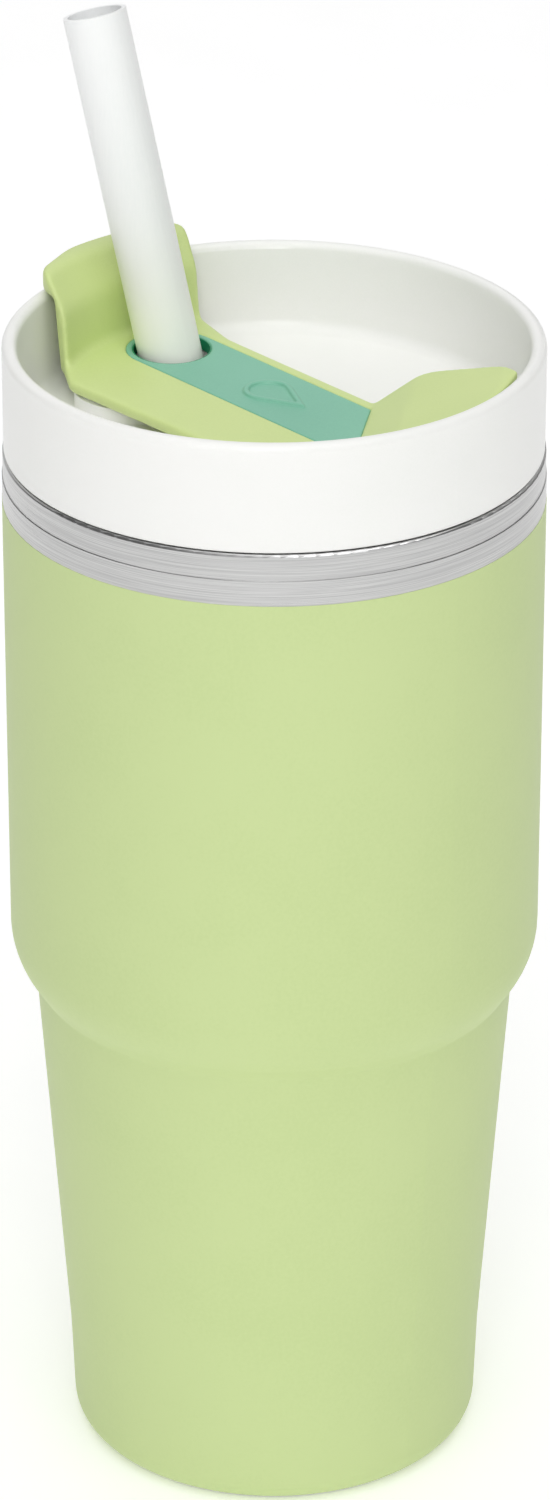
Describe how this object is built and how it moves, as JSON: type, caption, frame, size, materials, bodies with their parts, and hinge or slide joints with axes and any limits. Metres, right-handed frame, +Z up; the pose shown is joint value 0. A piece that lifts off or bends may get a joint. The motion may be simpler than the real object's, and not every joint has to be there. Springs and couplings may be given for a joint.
{
  "type": "insulated travel mug",
  "caption": "Double-walled steel travel mug with a deep screw lid, a turning cover with a thumb tab and a leaning drinking straw.",
  "frame": {"origin": "centre of the base, on the surface the mug stands on", "axes": "+Z up along the body axis; the straw end of the cover points to -X, the thumb tab to +X"},
  "size_m": [0.09, 0.088, 0.2447],
  "materials": {
    "bare_steel": "fine circumferential brushing",
    "lime_coat": "matt powder coat",
    "liner_steel": "brushed",
    "seal_glass": "opaque glass bead",
    "base_disc": "plain satin",
    "getter_metal": "sintered grey",
    "white_plastic": "semi-gloss",
    "silicone": "milky silicone",
    "lime_plastic": "satin",
    "mint_plastic": "satin",
    "frosted_straw": "frosted"
  },
  "bodies": {
    "vessel": {"outer_shell": "bare_steel", "powder_coat": "lime_coat", "inner_vessel": "liner_steel", "base_plate": "liner_steel", "vacuum_seal": "seal_glass", "base_disc": "base_disc", "getter": "getter_metal", "getter_clip": "liner_steel"},
    "gasket": {"lid_gasket": "silicone"},
    "lid": {"lid_body": "white_plastic", "slot_seal": "silicone"},
    "cover": {"rotating_cover": "lime_plastic", "cover_insert": "mint_plastic", "pivot_oring": "silicone", "pivot_clip": "liner_steel"},
    "straw": {"straw": "frosted_straw"}
  },
  "joints": [
    {"name": "lid_rise", "type": "slide", "parent": "vessel", "child": "gasket", "axis": [0, 0, 1], "range_m": [0, 0.00467]},
    {"name": "lid_turn", "type": "hinge", "parent": "gasket", "child": "lid", "pos_m": [0, 0, 0.18], "axis": [0, 0, 1], "range_deg": [0, 420]},
    {"name": "cover_turn", "type": "hinge", "parent": "lid", "child": "cover", "pos_m": [0, 0, 0.187], "axis": [0, 0, 1], "range_deg": [0, 30]},
    {"name": "straw_slide", "type": "slide", "parent": "cover", "child": "straw", "axis": [-0.2613, -0.0479, 0.9641], "range_m": [0, 0.18]}
  ],
  "couplings": [
    {"joint": "lid_rise", "follows": "lid_turn", "m_per_rad": 0.00063662}
  ]
}
